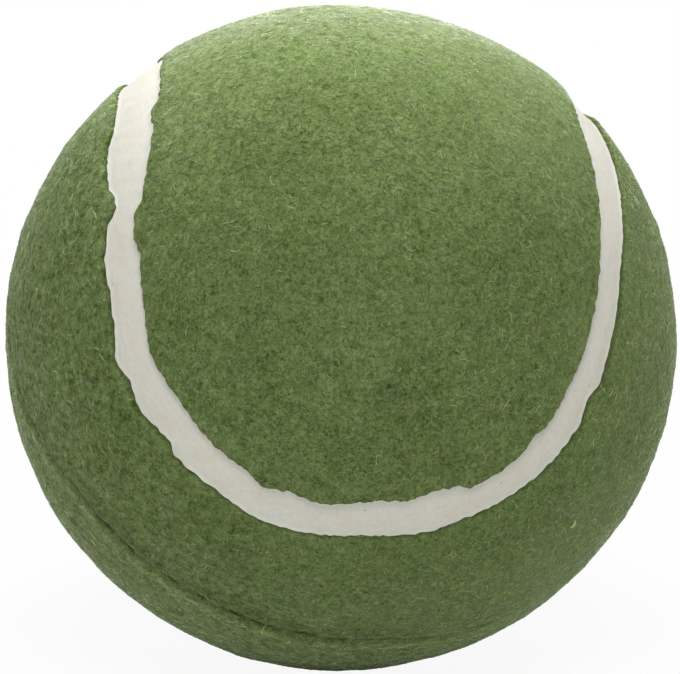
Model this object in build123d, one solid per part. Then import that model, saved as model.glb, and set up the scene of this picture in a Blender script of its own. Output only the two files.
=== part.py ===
from build123d import *
from build123d.topology import SkipClean
import math
import os

# A pressurised tennis ball: two glued rubber cups, a coat of cement, two felt panels and the white seam.
# The ball's centre is the origin, +Z is up and -Y faces the viewer. Lengths are in millimetres, angles in degrees.

# Layers, from the felt's face inwards
ball_diameter = 67.0
felt_thickness = 2.6
backing_thickness = 0.4
coat_thickness = 0.3
core_wall = 3.4

# White strip between the two panels, a little below the felt's face
strip_width = 3.8
strip_recess = 0.6
felt_edge_round = 0.5

# Cement between the core's two cups, and the bead that it forms inside
joint_thickness = 0.3
bead_depth = 0.7
bead_width = 2.0

# The seam's middle line: how far it climbs from the equator, and how far its bends swing sideways
seam_reach = 50.0
seam_swing = 12.7
seam_bends = 4
points_per_bend = 10

# How the seam lies on the ball: leaned sideways, then tipped back, then turned
seam_lean = 5.0
seam_tilt = -28.5
seam_turn = 7.0

# Where the front cup's crown points: raised from the level, then turned from the viewer
core_raise = 38.0
core_turn = 13.0

# How far a cutting face runs past the layer that it cuts
cut_overrun = 1.0

# A short step along the seam, and how near the ball's face an edge counts as lying on it
seam_step_share = 0.001
on_face_share = 0.0001

ball_radius = ball_diameter / 2
felt_floor = ball_radius - felt_thickness
backing_floor = felt_floor - backing_thickness
core_radius = backing_floor - coat_thickness
cavity_radius = core_radius - core_wall
strip_radius = ball_radius - strip_recess
strip_half_angle = strip_width / 2 / strip_radius
rim_height = joint_thickness / 2
bend_angle = 360 / seam_bends

seam_place = Rot(Z=seam_turn) * Rot(X=seam_tilt) * Rot(Y=seam_lean)
core_place = Rot(Z=core_turn) * Rot(X=90 - core_raise)


def seam_direction(share):
    """The way from the centre to the seam's middle line, a share of the way round from the front lobe's end."""
    way = 2 * math.pi * share
    latitude = -math.radians(seam_reach) * math.cos(seam_bends / 2 * way)
    longitude = way - math.pi / 2 + math.radians(seam_swing) * math.sin(seam_bends * way)
    level = math.cos(latitude)
    return Vector(level * math.cos(longitude), level * math.sin(longitude), math.sin(latitude))


def strip_edge_direction(share, side):
    """The way from the centre to the strip's edge: side is 1 for the upper panel's edge and -1 for the lower's."""
    middle = seam_direction(share)
    along = seam_direction(share + seam_step_share) - seam_direction(share - seam_step_share)
    across = middle.cross(along).normalized() * side
    return middle * math.cos(strip_half_angle) + across * math.sin(strip_half_angle)


def strip_edge_line(side, radius):
    """The strip's edge on a sphere of this radius, as one closed smooth line."""
    count = seam_bends * points_per_bend
    points = [strip_edge_direction(step / count, side) * radius for step in range(count)]
    return Spline(*points, periodic=True)


def panel_edge_face(side):
    """The face, square to the ball, along which a panel's cloth is cut."""
    inner_line = strip_edge_line(side, backing_floor - cut_overrun)
    outer_line = strip_edge_line(side, ball_radius + cut_overrun)
    return Face.make_surface_from_curves(inner_line, outer_line)


def ball_layer(inner_radius, outer_radius, angle=360):
    """A spherical layer, whole or as a wedge of this angle about the vertical."""
    outer_ball = Solid.make_sphere(outer_radius, angle1=-90, angle3=angle)
    inner_ball = Solid.make_sphere(inner_radius, angle1=-90, angle3=angle)
    return (outer_ball - inner_ball).solid()


def cut_by_seam(inner_radius, outer_radius, edge_faces):
    """A layer's lower panel, strip and upper panel, cut in wedges round the seam's bends and joined again."""
    wedge = ball_layer(inner_radius, outer_radius, bend_angle)
    cut_wedges = []
    for bend in range(seam_bends):
        pieces = [Rot(Z=bend_angle * (bend - 1) - bend_angle / 2) * wedge]
        for edge_face in edge_faces:
            pieces = [part for piece in pieces for part in piece.split(edge_face, keep=Keep.ALL)]
        cut_wedges.append(ShapeList(pieces).sort_by(Axis.Z))
    with SkipClean():
        return [parts[0].fuse(*parts[1:]).solid() for parts in zip(*cut_wedges)]


def round_cut_edge(felt):
    """The felt panel with the outer edge of its cut rounded over."""
    edges = felt.edges().filter_by(GeomType.BSPLINE)
    rim = [edge for edge in edges if math.isclose((edge @ 0.5).length, ball_radius, rel_tol=on_face_share)]
    return felt.fillet(felt_edge_round, rim)


def core_cup():
    """The cup whose crown points up, with its flat rim half a joint above the middle."""
    return ball_layer(cavity_radius, core_radius).split(Plane.XY.offset(rim_height), keep=Keep.TOP)


def core_joint():
    """The ring of cement between the two rims, with its bead inside the hollow."""
    outer_rim = math.sqrt(core_radius**2 - rim_height**2)
    inner_rim = math.sqrt(cavity_radius**2 - rim_height**2)
    bead_half_angle = bead_width / 2 / cavity_radius
    bead_end = Vector(cavity_radius * math.cos(bead_half_angle), 0, cavity_radius * math.sin(bead_half_angle))
    wall_angle = (bead_half_angle + math.asin(rim_height / cavity_radius)) / 2
    wall_middle = Vector(cavity_radius * math.cos(wall_angle), 0, cavity_radius * math.sin(wall_angle))
    outer_corner = Vector(outer_rim, 0, rim_height)
    inner_corner = Vector(inner_rim, 0, rim_height)
    half_outline = [
        Line(outer_corner, inner_corner),
        ThreePointArc(inner_corner, wall_middle, bead_end),
    ]
    outline = [
        *half_outline,
        *[mirror(line, Plane.XY) for line in half_outline],
        ThreePointArc(outer_corner, (core_radius, 0, 0), mirror_down(outer_corner)),
        ThreePointArc(bead_end, (cavity_radius - bead_depth, 0, 0), mirror_down(bead_end)),
    ]
    return revolve(make_face(outline), Axis.Z)


def mirror_down(point):
    """The point's twin on the other side of the joint's middle plane."""
    return Vector(point.X, point.Y, -point.Z)


edge_faces = [panel_edge_face(side) for side in (1, -1)]
lower_felt, _, upper_felt = cut_by_seam(felt_floor, ball_radius, edge_faces)
lower_backing, _, upper_backing = cut_by_seam(backing_floor, felt_floor, edge_faces)
_, strip, _ = cut_by_seam(backing_floor, strip_radius, edge_faces)
cup = core_cup()

pieces = {
    "front_core_cup": core_place * cup,
    "rear_core_cup": core_place * Rot(X=180) * cup,
    "core_joint_cement": core_place * core_joint(),
    "core_cement_coat": core_place * ball_layer(core_radius, backing_floor),
    "upper_panel_backing": seam_place * upper_backing,
    "lower_panel_backing": seam_place * lower_backing,
    "upper_felt_panel": seam_place * round_cut_edge(upper_felt),
    "lower_felt_panel": seam_place * round_cut_edge(lower_felt),
    "seam_strip": seam_place * strip,
}

os.makedirs("parts", exist_ok=True)
for name, piece in pieces.items():
    export_step(piece, f"parts/{name}.step")
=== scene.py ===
import math

import bpy
import numpy as np
from mathutils import Matrix, Vector
from mathutils.kdtree import KDTree


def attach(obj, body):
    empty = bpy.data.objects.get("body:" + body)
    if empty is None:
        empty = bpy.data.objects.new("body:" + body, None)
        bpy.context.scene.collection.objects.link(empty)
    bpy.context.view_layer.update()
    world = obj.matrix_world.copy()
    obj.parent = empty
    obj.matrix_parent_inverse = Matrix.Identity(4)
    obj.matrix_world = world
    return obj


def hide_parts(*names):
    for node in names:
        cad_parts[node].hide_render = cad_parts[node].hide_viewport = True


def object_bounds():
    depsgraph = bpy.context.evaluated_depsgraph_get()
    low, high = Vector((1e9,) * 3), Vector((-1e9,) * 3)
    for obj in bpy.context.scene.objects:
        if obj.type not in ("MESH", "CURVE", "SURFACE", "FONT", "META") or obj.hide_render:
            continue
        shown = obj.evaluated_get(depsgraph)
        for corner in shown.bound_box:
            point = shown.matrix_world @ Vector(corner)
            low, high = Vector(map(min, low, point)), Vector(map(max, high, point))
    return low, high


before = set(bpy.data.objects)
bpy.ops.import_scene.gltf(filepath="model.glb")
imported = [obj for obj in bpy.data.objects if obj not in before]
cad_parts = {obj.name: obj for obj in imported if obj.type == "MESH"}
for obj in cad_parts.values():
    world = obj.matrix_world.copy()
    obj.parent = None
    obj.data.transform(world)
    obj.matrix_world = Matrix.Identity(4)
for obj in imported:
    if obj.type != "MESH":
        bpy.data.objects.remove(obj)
cad_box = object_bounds()

bl_info = {
    "name": "Tennis ball",
    "version": (1, 0, 0),
    "blender": (4, 5, 0),
    "location": "3D View > Sidebar > Tennis ball",
    "description": "Felt panels, nap, seam strip and studio stage over the CAD frame of a tennis ball",
    "category": "Object",
}

MM = 0.001
UPPER = 1
LOWER = -1
PANELS = {"upper": UPPER, "lower": LOWER}

# How far each felt edge is cut back from its even line (mm, less than 0 is felt that runs into the strip),
# by the share of the way round the seam from the front lobe's end
UPPER_EDGE = (
    (-0.22, 0.4), (-0.200, 0.7), (-0.190, 0.5), (-0.180, 1.0), (-0.169, 1.1), (-0.165, 0.35), (-0.158, 1.1),
    (-0.150, 1.2), (-0.135, 0.8), (-0.131, 0.1), (-0.125, 0.05), (-0.120, 0.75), (-0.105, 0.5), (-0.092, -0.25),
    (-0.075, 0.3), (-0.060, -0.1), (-0.044, -0.1), (-0.037, -0.85), (-0.028, -0.05), (-0.015, -0.25),
    (0.0, 0.5), (0.008, 0.75), (0.019, 0.4), (0.030, 0.8), (0.038, 0.5), (0.042, -0.3), (0.055, -0.45), (0.065, -0.2),
    (0.069, 0.4), (0.074, 0.0), (0.088, 0.45), (0.108, 0.6), (0.132, 0.35), (0.155, 0.0),
    (0.170, 0.5), (0.2, 0.4),
)
LOWER_EDGE = (
    (-0.22, 0.4), (-0.198, 0.9), (-0.180, 0.6), (-0.165, 0.5), (-0.159, 0.85), (-0.150, 0.5), (-0.142, -0.2),
    (-0.139, -1.1), (-0.135, -1.4), (-0.131, -0.4), (-0.120, 0.0), (-0.112, -0.5), (-0.102, -0.3),
    (-0.095, 0.65), (-0.088, -0.15), (-0.081, 0.45), (-0.069, -0.5), (-0.065, 0.25), (-0.050, 0.0),
    (-0.033, 0.4), (-0.018, 0.0),
    (0.002, -0.7), (0.027, -0.25), (0.036, -0.5), (0.065, -0.15), (0.084, -0.3), (0.089, -1.2), (0.096, -0.45),
    (0.105, -0.8), (0.128, -0.7), (0.137, -0.1), (0.155, 0.7), (0.166, 0.9), (0.182, 0.8), (0.2, 0.4),
)
EDGES = {UPPER: UPPER_EDGE, LOWER: LOWER_EDGE}

# The crease by the angle round the core's joint (degrees): how far it strays from the joint (mm), and how
# plain it is
CREASE_LINE = (
    (-180, 1.8, 0.5), (-165, 2.0, 0.8), (-156, 2.8, 0.9), (-151, 3.2, 0.9), (-147, 2.8, 1.0), (-140, 2.6, 1.2),
    (-132, 1.9, 1.3), (-125, 1.6, 1.3), (-112, 1.0, 1.2), (-90, 0.7, 0.9), (-83, 0.4, 0.7), (-70, 0.1, 0.4),
    (-60, 0.0, 0.2), (0, 0.0, 0.3), (180, 1.8, 0.5),
)

# Room left for the nap, and how far the ball is squashed at its top and bottom
NAP_ROOM = 0.02 * MM
SQUASH = 0.3 * MM

# How near to the cut a point of a panel's net is moved onto it, and the gap between the strip and the felt
SNAP = 0.055 * MM
WALL_GAP = 0.01 * MM

# Strands start this far inside the cut and stay this far inside it, with their ends sunk this deep
START_MARGIN = 0.05 * MM
STRAND_MARGIN = 0.02 * MM
ROOT_DEPTH = 0.03 * MM

# Small dull marks in the felt: turn from the viewer and height (degrees), size and depth (mm), and the share
# of colour lost
FELT_MARKS = ((7.6, 2.3, 0.2, 0.25, 0.55), (7.5, 1.4, 1.0, 0.03, 0.2), (-12.9, 6.5, 0.6, 0.03, 0.15))

# A pale fibre caught in the felt: turn from the viewer and height (degrees), how far it is tipped over, and
# its length, width and lift (mm)
FLECK_PLACE = (46.8, -25.4)
FLECK_TIP = 62
FLECK_SIZES = (1.0, 0.29, 0.22)


class BallShape(bpy.types.PropertyGroup):
    """Sizes that the felt, the nap and the strip share with the CAD part."""

    ball_radius: bpy.props.FloatProperty(
        name="Ball radius", description="From the centre to the felt's face",
        default=round((cad_box[1].z - cad_box[0].z) / 2, 4), unit="LENGTH")
    felt_thickness: bpy.props.FloatProperty(
        name="Felt thickness", description="From the felt's face to its woven backing",
        default=2.6 * MM, unit="LENGTH")
    backing_thickness: bpy.props.FloatProperty(
        name="Backing thickness", description="Woven cloth under the felt", default=0.4 * MM, unit="LENGTH")
    strip_width: bpy.props.FloatProperty(
        name="Strip width", description="White rubber between the two panels",
        default=3.8 * MM, unit="LENGTH")
    strip_recess: bpy.props.FloatProperty(
        name="Strip recess", description="How far the strip lies under the felt's face",
        default=0.6 * MM, unit="LENGTH")
    edge_round: bpy.props.FloatProperty(
        name="Edge round", description="How far in from its cut the felt bends down",
        default=0.6 * MM, unit="LENGTH")
    edge_drop: bpy.props.FloatProperty(
        name="Edge drop", description="How far the felt's cut edge sinks", default=0.32 * MM, unit="LENGTH")
    seam_reach: bpy.props.FloatProperty(
        name="Seam reach", description="How far the seam climbs from its equator",
        default=math.radians(50), subtype="ANGLE")
    seam_swing: bpy.props.FloatProperty(
        name="Seam swing", description="How far the seam's bends swing sideways",
        default=math.radians(12.7), subtype="ANGLE")
    seam_lean: bpy.props.FloatProperty(
        name="Seam lean", description="Turn of the seam about Y", default=math.radians(5), subtype="ANGLE")
    seam_tilt: bpy.props.FloatProperty(
        name="Seam tilt", description="Turn of the seam about X", default=math.radians(-28.5), subtype="ANGLE")
    seam_turn: bpy.props.FloatProperty(
        name="Seam turn", description="Turn of the seam about Z", default=math.radians(7), subtype="ANGLE")
    core_raise: bpy.props.FloatProperty(
        name="Core raise", description="Height of the front cup's crown above the level",
        default=math.radians(38), subtype="ANGLE")
    core_turn: bpy.props.FloatProperty(
        name="Core turn", description="Turn of the front cup's crown from the viewer",
        default=math.radians(13), subtype="ANGLE")
    crease_depth: bpy.props.FloatProperty(
        name="Crease depth", description="Groove that the felt keeps over the core's joint",
        default=0.135 * MM, unit="LENGTH")
    crease_width: bpy.props.FloatProperty(
        name="Crease width", description="Half of the groove's width", default=0.55 * MM, unit="LENGTH")


class FeltLook(bpy.types.PropertyGroup):
    """Colours of the felt and sizes of its strands."""

    shade_colour: bpy.props.FloatVectorProperty(
        name="Felt shade", description="Felt between its strands", size=3, subtype="COLOR",
        default=(0.061, 0.094, 0.022), min=0, max=1)
    light_colour: bpy.props.FloatVectorProperty(
        name="Felt light", description="Felt where its strands are paler", size=3, subtype="COLOR",
        default=(0.167, 0.224, 0.084), min=0, max=1)
    pit_colour: bpy.props.FloatVectorProperty(
        name="Felt pits", description="Small hollows in the nap", size=3, subtype="COLOR",
        default=(0.040, 0.058, 0.015), min=0, max=1)
    fleck_colour: bpy.props.FloatVectorProperty(
        name="Fleck", description="Pale fibre caught in the felt", size=3, subtype="COLOR",
        default=(0.36, 0.46, 0.17), min=0, max=1)
    wisp_colour: bpy.props.FloatVectorProperty(
        name="Wisps", description="Longer loose strands of the felt", size=3, subtype="COLOR",
        default=(0.178, 0.224, 0.1), min=0, max=1)
    strand_length: bpy.props.FloatProperty(
        name="Strand length", description="Usual length of a nap strand", default=0.65 * MM, unit="LENGTH")
    strand_width: bpy.props.FloatProperty(
        name="Strand width", description="Usual width of a nap strand", default=0.07 * MM, unit="LENGTH")
    strand_lift: bpy.props.FloatProperty(
        name="Strand lift", description="How far a strand's middle stands off the felt",
        default=0.042 * MM, unit="LENGTH")
    strands_per_piece: bpy.props.IntProperty(
        name="Strands", description="Short strands in one piece of nap", default=33000, min=1)
    nap_pieces: bpy.props.IntProperty(
        name="Nap pieces", description="Pieces of nap on one panel", default=4, min=1)
    curled_strands: bpy.props.IntProperty(
        name="Curled strands", description="Longer curled strands on one panel", default=6500, min=1)
    stray_strands: bpy.props.IntProperty(
        name="Stray strands", description="Longer loose strands on one panel", default=1000, min=1)


class SeamLook(bpy.types.PropertyGroup):
    """Colours of the white strip."""

    rubber_colour: bpy.props.FloatVectorProperty(
        name="Strip rubber", description="Clean strip", size=3, subtype="COLOR",
        default=(0.54, 0.531, 0.468), min=0, max=1)
    stain_colour: bpy.props.FloatVectorProperty(
        name="Strip stain", description="Patches along the strip's middle", size=3, subtype="COLOR",
        default=(0.525, 0.477, 0.375), min=0, max=1)
    speck_colour: bpy.props.FloatVectorProperty(
        name="Strip specks", description="Specks of dirt", size=3, subtype="COLOR",
        default=(0.27, 0.26, 0.215), min=0, max=1)


class StageLook(bpy.types.PropertyGroup):
    """Camera, lamps and surroundings."""

    camera_rise: bpy.props.FloatProperty(
        name="Camera rise", description="Height of the view above the level",
        default=math.radians(10), subtype="ANGLE")
    camera_reach: bpy.props.FloatProperty(
        name="Camera reach", description="Distance from the ball's centre, in ball radii", default=10.2)
    camera_lens: bpy.props.FloatProperty(
        name="Lens", description="Focal length in millimetres on a 36 mm sensor", default=180.5)
    ambient: bpy.props.FloatProperty(
        name="Surroundings", description="Strength of the white surroundings as light", default=0.31, min=0)
    top_power: bpy.props.FloatProperty(
        name="Top lamp", description="Small soft lamp close above the ball", default=0.06, unit="POWER")
    left_power: bpy.props.FloatProperty(
        name="Left lamp", description="Small soft lamp close behind the ball's left",
        default=0.011, unit="POWER")
    right_power: bpy.props.FloatProperty(
        name="Right lamp", description="Small soft lamp close above the ball's right",
        default=0.014, unit="POWER")
    upper_front_power: bpy.props.FloatProperty(
        name="Upper front lamp", description="Soft lamp high in front of the ball", default=2.4, unit="POWER")
    front_power: bpy.props.FloatProperty(
        name="Front lamp", description="Soft lamp over the camera", default=0.12, unit="POWER")
    floor_colour: bpy.props.FloatVectorProperty(
        name="Floor", description="Plain pale floor", size=3, subtype="COLOR", default=(0.92, 0.92, 0.92),
        min=0, max=1)


def unit(vectors):
    """The same ways, one long."""
    return vectors / np.linalg.norm(vectors, axis=-1, keepdims=True)


def turned(angle, axis):
    """A turn about an axis, as rows that multiply a column."""
    return np.array(Matrix.Rotation(angle, 3, axis))


def facing(turn, height):
    """The way from the centre at a turn from the viewer and a height, both in degrees."""
    turn, height = math.radians(turn), math.radians(height)
    return np.array((math.sin(turn) * math.cos(height), -math.cos(turn) * math.cos(height), math.sin(height)))


def ripple(points, size, seed, waves=24):
    """A smooth random field, mostly from -1 to 1, whose bumps are about this size apart."""
    rng = np.random.default_rng(seed)
    headings = unit(rng.normal(size=(waves, 3)))
    pitches = 2 * math.pi / (size * rng.uniform(0.7, 1.5, waves))
    starts = rng.uniform(0, 2 * math.pi, waves)
    total = np.zeros(len(points))
    for heading, pitch, start in zip(headings, pitches, starts):
        total += np.cos(points @ (heading * pitch) + start)
    return total / math.sqrt(waves)


def eased(rise):
    """0 to 1 with a soft start and end."""
    rise = np.clip(rise, 0, 1)
    return rise * rise * (3 - 2 * rise)


class Seam:
    """The seam's middle line on a ball one in radius, and the wavy edges that the felt was cut to."""

    samples = 6000

    def __init__(self, shape):
        self.radius = shape.ball_radius
        self.half_width = shape.strip_width / 2 / (shape.ball_radius - shape.strip_recess) * shape.ball_radius
        self.share = np.arange(self.samples) / self.samples - 0.5
        place = turned(shape.seam_turn, "Z") @ turned(shape.seam_tilt, "X") @ turned(shape.seam_lean, "Y")
        way = 2 * math.pi * self.share
        latitude = -shape.seam_reach * np.cos(2 * way)
        longitude = way - math.pi / 2 + shape.seam_swing * np.sin(4 * way)
        level = np.cos(latitude)
        line = np.stack([level * np.cos(longitude), level * np.sin(longitude), np.sin(latitude)], 1)
        self.middle = line @ place.T
        self.along = unit(np.roll(self.middle, -1, 0) - np.roll(self.middle, 1, 0))
        self.across = unit(np.cross(self.middle, self.along))
        steps = np.diff(self.middle, axis=0, append=self.middle[:1])
        self.length = self.radius * np.linalg.norm(steps, axis=1).sum()
        self.edge = {side: self.half_width + self.cut_back(side) for side in (UPPER, LOWER)}
        self.tree = KDTree(self.samples)
        for index, point in enumerate(self.middle):
            self.tree.insert(point, index)
        self.tree.balance()

    def cut_back(self, side):
        """How far the felt's edge strays from an even line, at each sample."""
        shares, strays = zip(*EDGES[side])
        drawn = np.interp(self.share, shares, strays, left=0.1, right=0.1) * MM
        window = np.hanning(15)
        drawn = np.convolve(np.r_[drawn[-20:], drawn, drawn[:20]], window / window.sum(), "same")[20:-20]
        seen = eased((0.24 - np.abs(self.share)) / 0.04)
        rng = np.random.default_rng(40 + side)
        rough = np.zeros(self.samples)
        fine = np.zeros(self.samples)
        for cycles in range(24, 110, 3):
            rough += np.cos(2 * math.pi * cycles * self.share + rng.uniform(0, 7)) * 30 / cycles
        for cycles in range(120, 420, 7):
            fine += np.cos(2 * math.pi * cycles * self.share + rng.uniform(0, 7)) * 120 / cycles
        return drawn + 0.11 * MM * rough * (1 - seen) + 0.018 * MM * fine

    def locate(self, ways):
        """The nearest sample to each way from the centre, and the distance, above 0 on the upper side."""
        nearest = np.fromiter((self.tree.find(way)[1] for way in ways), int, len(ways))
        reach = np.arccos(np.clip((ways * self.middle[nearest]).sum(1), -1, 1)) * self.radius
        return nearest, reach * np.sign((ways * self.across[nearest]).sum(1))

    def inside(self, ways, side):
        """How far inside a panel's cut edge each way from the centre lands."""
        nearest, distance = self.locate(ways)
        return distance * side - self.edge[side][nearest]

    def beside(self, index, distance):
        """The ways from the centre at these distances across the seam from its samples."""
        angle = (distance / self.radius)[..., None]
        return self.middle[index] * np.cos(angle) + self.across[index] * np.sin(angle)


def crease_place(ways, shape):
    """How far above the crease each way from the centre lands, and how plain the crease is there."""
    place = turned(shape.core_turn, "Z") @ turned(math.pi / 2 - shape.core_raise, "X")
    local = ways @ place
    angle = np.degrees(np.arctan2(local[:, 1], local[:, 0]))
    angles, strays, plainness = zip(*CREASE_LINE)
    wander = np.interp(angle, angles, strays) * MM + 0.12 * MM * ripple(ways, 0.12, 71)
    distance = np.arcsin(np.clip(local[:, 2], -1, 1)) * shape.ball_radius - wander
    return distance, np.interp(angle, angles, plainness)


def crease_relief(ways, shape):
    """The groove over the core's joint, with the low ridge below it."""
    distance, plain = crease_place(ways, shape)
    groove = np.exp(-((distance / shape.crease_width) ** 2))
    ridge = np.exp(-(((distance + 1.5 * MM) / (0.9 * MM)) ** 2))
    return shape.crease_depth * plain * (0.8 * ridge - groove)


def mark_shares(ways, shape):
    """How far the small marks dent the felt, and the share of its colour that they leave."""
    dent = np.zeros(len(ways))
    left = np.ones(len(ways))
    for turn, height, size, depth, loss in FELT_MARKS:
        reach = np.linalg.norm(ways - facing(turn, height), axis=1) * shape.ball_radius
        share = np.exp(-((reach / (size * MM)) ** 2))
        dent += depth * MM * share
        left *= 1 - loss * share
    return dent, left


def marks_and_painted_shade(ways, inside, shape):
    """The share of its colour that the felt keeps: less at its marks; less with painted shade along its cut and in
    the crease's groove and the hollow above it; more with a painted highlight on the ridge below the crease.
    """
    distance, plain = crease_place(ways, shape)
    broken = np.clip(0.55 + 0.7 * ripple(ways, 0.05, 73), 0, 1) * plain
    groove = np.exp(-((distance / (0.5 * shape.crease_width)) ** 2))
    hollow = np.exp(-(((distance - 0.9 * MM) / (1.5 * MM)) ** 2))
    ridge = np.exp(-(((distance + 1.5 * MM) / (0.55 * MM)) ** 2))
    # Painted shade darkens the groove and the hollow above it; a painted highlight lightens the ridge below it
    crease = (1 - 0.6 * broken * groove) * (1 - 0.2 * plain * hollow) * (1 + 0.28 * plain * ridge)
    # Painted shade darkens the felt along its cut edge
    cut = 1 - 0.5 * np.exp(-((inside / (0.16 * MM)) ** 2))
    return mark_shares(ways, shape)[1] * crease * cut


def felt_face(ways, inside, shape):
    """The felt face's distance from the centre: a slight squash, lumps, marks, crease and rounded edge."""
    face = shape.ball_radius - NAP_ROOM - SQUASH * ways[:, 2] ** 2 + 0.07 * MM * ripple(ways, 0.8, 61)
    face += 0.045 * MM * ripple(ways, 0.22, 62) + 0.028 * MM * ripple(ways, 0.075, 63)
    face += crease_relief(ways, shape) - mark_shares(ways, shape)[0]
    bend = np.clip(1 - inside / shape.edge_round, 0, 1)
    return face - shape.edge_drop * (1 - np.sqrt(1 - bend**2))


def mesh_piece(name, points, triangles, material):
    """A new smooth object made of triangles."""
    mesh = bpy.data.meshes.new(name)
    mesh.vertices.add(len(points))
    mesh.vertices.foreach_set("co", points.astype(np.float32).ravel())
    mesh.loops.add(triangles.size)
    mesh.loops.foreach_set("vertex_index", triangles.astype(np.int32).ravel())
    mesh.polygons.add(len(triangles))
    mesh.polygons.foreach_set("loop_start", np.arange(0, triangles.size, 3, dtype=np.int32))
    mesh.polygons.foreach_set("use_smooth", np.full(len(triangles), True))
    mesh.update(calc_edges=True)
    mesh.materials.append(material)
    piece = bpy.data.objects.new(name, mesh)
    bpy.context.scene.collection.objects.link(piece)
    return piece


def mark_points(piece, name, values):
    """A number at every point of a piece, for its material."""
    piece.data.attributes.new(name, "FLOAT", "POINT").data.foreach_set("value", values.astype(np.float32))


def round_net(divisions):
    """Triangles of even size over a ball one in radius: an icosahedron, divided."""
    golden = (1 + math.sqrt(5)) / 2
    corners = [(a, b * golden, 0) for a in (-1, 1) for b in (-1, 1)]
    points = unit(np.array([c[k:] + c[:k] for k in range(3) for c in corners], float))
    near = np.linalg.norm(points[:, None] - points[None], axis=2) < 1.1
    triangles = []
    for a in range(12):
        for b in range(a + 1, 12):
            for c in range(b + 1, 12):
                if near[a, b] and near[b, c] and near[a, c]:
                    outward = np.dot(np.cross(points[b] - points[a], points[c] - points[a]), points[a]) > 0
                    triangles.append((a, b, c) if outward else (a, c, b))
    triangles = np.array(triangles)
    for _ in range(divisions):
        points, triangles = divide(points, triangles, np.full(len(triangles), True))
    return points, triangles


def edge_pairs(triangles):
    """The edges of some triangles, each once, and which one lies on each side of each triangle."""
    sides = np.sort(triangles[:, [0, 1, 1, 2, 2, 0]].reshape(-1, 2), axis=1)
    pairs, which = np.unique(sides, axis=0, return_inverse=True)
    return pairs, which.reshape(-1, 3)


def divide(points, triangles, chosen):
    """The chosen triangles cut in four, and their neighbours cut to match."""
    pairs, which = edge_pairs(triangles)
    cut = np.zeros(len(pairs), bool)
    cut[which[chosen]] = True
    halves = np.full(len(pairs), -1)
    halves[cut] = len(points) + np.arange(cut.sum())
    points = np.r_[points, unit(points[pairs[cut]].sum(1))]
    half = halves[which]
    cuts = (half >= 0).sum(1)
    made = [triangles[cuts == 0]]
    whole = cuts == 3
    a, b, c = triangles[whole].T
    ab, bc, ca = half[whole].T
    made += [np.stack(corners, 1) for corners in ((a, ab, ca), (ab, b, bc), (ca, bc, c), (ab, bc, ca))]
    for turn in range(3):
        rolled = np.roll(triangles, -turn, 1)
        rolled_half = np.roll(half, -turn, 1)
        one = (cuts == 1) & (rolled_half[:, 0] >= 0)
        a, b, c = rolled[one].T
        middle = rolled_half[one, 0]
        made += [np.stack((a, middle, c), 1), np.stack((middle, b, c), 1)]
        two = (cuts == 2) & (rolled_half[:, 0] < 0)
        a, b, c = rolled[two].T
        bc, ca = rolled_half[two, 1], rolled_half[two, 2]
        made += [np.stack((a, b, bc), 1), np.stack((a, bc, ca), 1), np.stack((ca, bc, c), 1)]
    return points, np.concatenate(made)


def cut_net(points, triangles, inside):
    """The part of a net of triangles where inside is 0 or more, cut along the line where it is 0."""
    pairs, which = edge_pairs(triangles)
    first, second = inside[pairs[:, 0]], inside[pairs[:, 1]]
    crossed = first * second < 0
    part = (first[crossed] / (first[crossed] - second[crossed]))[:, None]
    ends = points[pairs[crossed]]
    cross_points = np.full(len(pairs), -1)
    cross_points[crossed] = len(points) + np.arange(crossed.sum())
    points = np.r_[points, unit(ends[:, 0] * (1 - part) + ends[:, 1] * part)]
    inside = np.r_[inside, np.zeros(crossed.sum())]
    sign = np.sign(inside)[triangles]
    middle_sign = sign.sum(1)
    made = [triangles[(sign.min(1) >= 0) & (middle_sign > 0)]]
    for turn in range(3):
        rolled = np.roll(triangles, -turn, 1)
        signs = np.roll(sign, -turn, 1)
        crossing = cross_points[np.roll(which, -turn, 1)]
        lone_out = (signs[:, 0] < 0) & (signs[:, 1] > 0) & (signs[:, 2] > 0)
        b, c = rolled[lone_out, 1], rolled[lone_out, 2]
        ab, ca = crossing[lone_out, 0], crossing[lone_out, 2]
        made += [np.stack((ab, b, c), 1), np.stack((ab, c, ca), 1)]
        lone_in = (signs[:, 0] > 0) & (signs[:, 1] < 0) & (signs[:, 2] < 0)
        made.append(np.stack((rolled[lone_in, 0], crossing[lone_in, 0], crossing[lone_in, 2]), 1))
        edge_next = (signs[:, 0] == 0) & (signs[:, 1] > 0) & (signs[:, 2] < 0)
        made.append(np.stack((rolled[edge_next, 0], rolled[edge_next, 1], crossing[edge_next, 1]), 1))
        edge_last = (signs[:, 0] == 0) & (signs[:, 1] < 0) & (signs[:, 2] > 0)
        made.append(np.stack((rolled[edge_last, 0], crossing[edge_last, 1], rolled[edge_last, 2]), 1))
    triangles = np.concatenate(made)
    used, triangles = np.unique(triangles, return_inverse=True)
    return points[used], triangles.reshape(-1, 3), inside[used]


def panel_net(seam, side, shape):
    """One panel's outline filled with triangles, finer along its cut edge, its crease and its marks."""
    points, triangles = round_net(6)
    inside = seam.inside(points, side)
    keep = inside[triangles].max(1) > -1.5 * MM
    used, triangles = np.unique(triangles[keep], return_inverse=True)
    points, triangles, inside = points[used], triangles.reshape(-1, 3), inside[used]
    for band in (1.5 * MM, 0.9 * MM):
        from_crease, plain = crease_place(points, shape)
        fine = (np.abs(inside) < band) | ((np.abs(from_crease) < 0.8 * band) & (plain > 0.45))
        fine |= mark_shares(points, shape)[1] < 0.98
        points, triangles = divide(points, triangles, fine[triangles].any(1))
        inside = np.r_[inside, seam.inside(points[len(inside):], side)]
    nearest, _ = seam.locate(points)
    close = np.abs(inside) < SNAP
    shift = -(inside[close] / seam.radius * side)[:, None] * seam.across[nearest[close]]
    points[close] = unit(points[close] + shift)
    inside[close] = 0
    return cut_net(points, triangles, inside)


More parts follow.
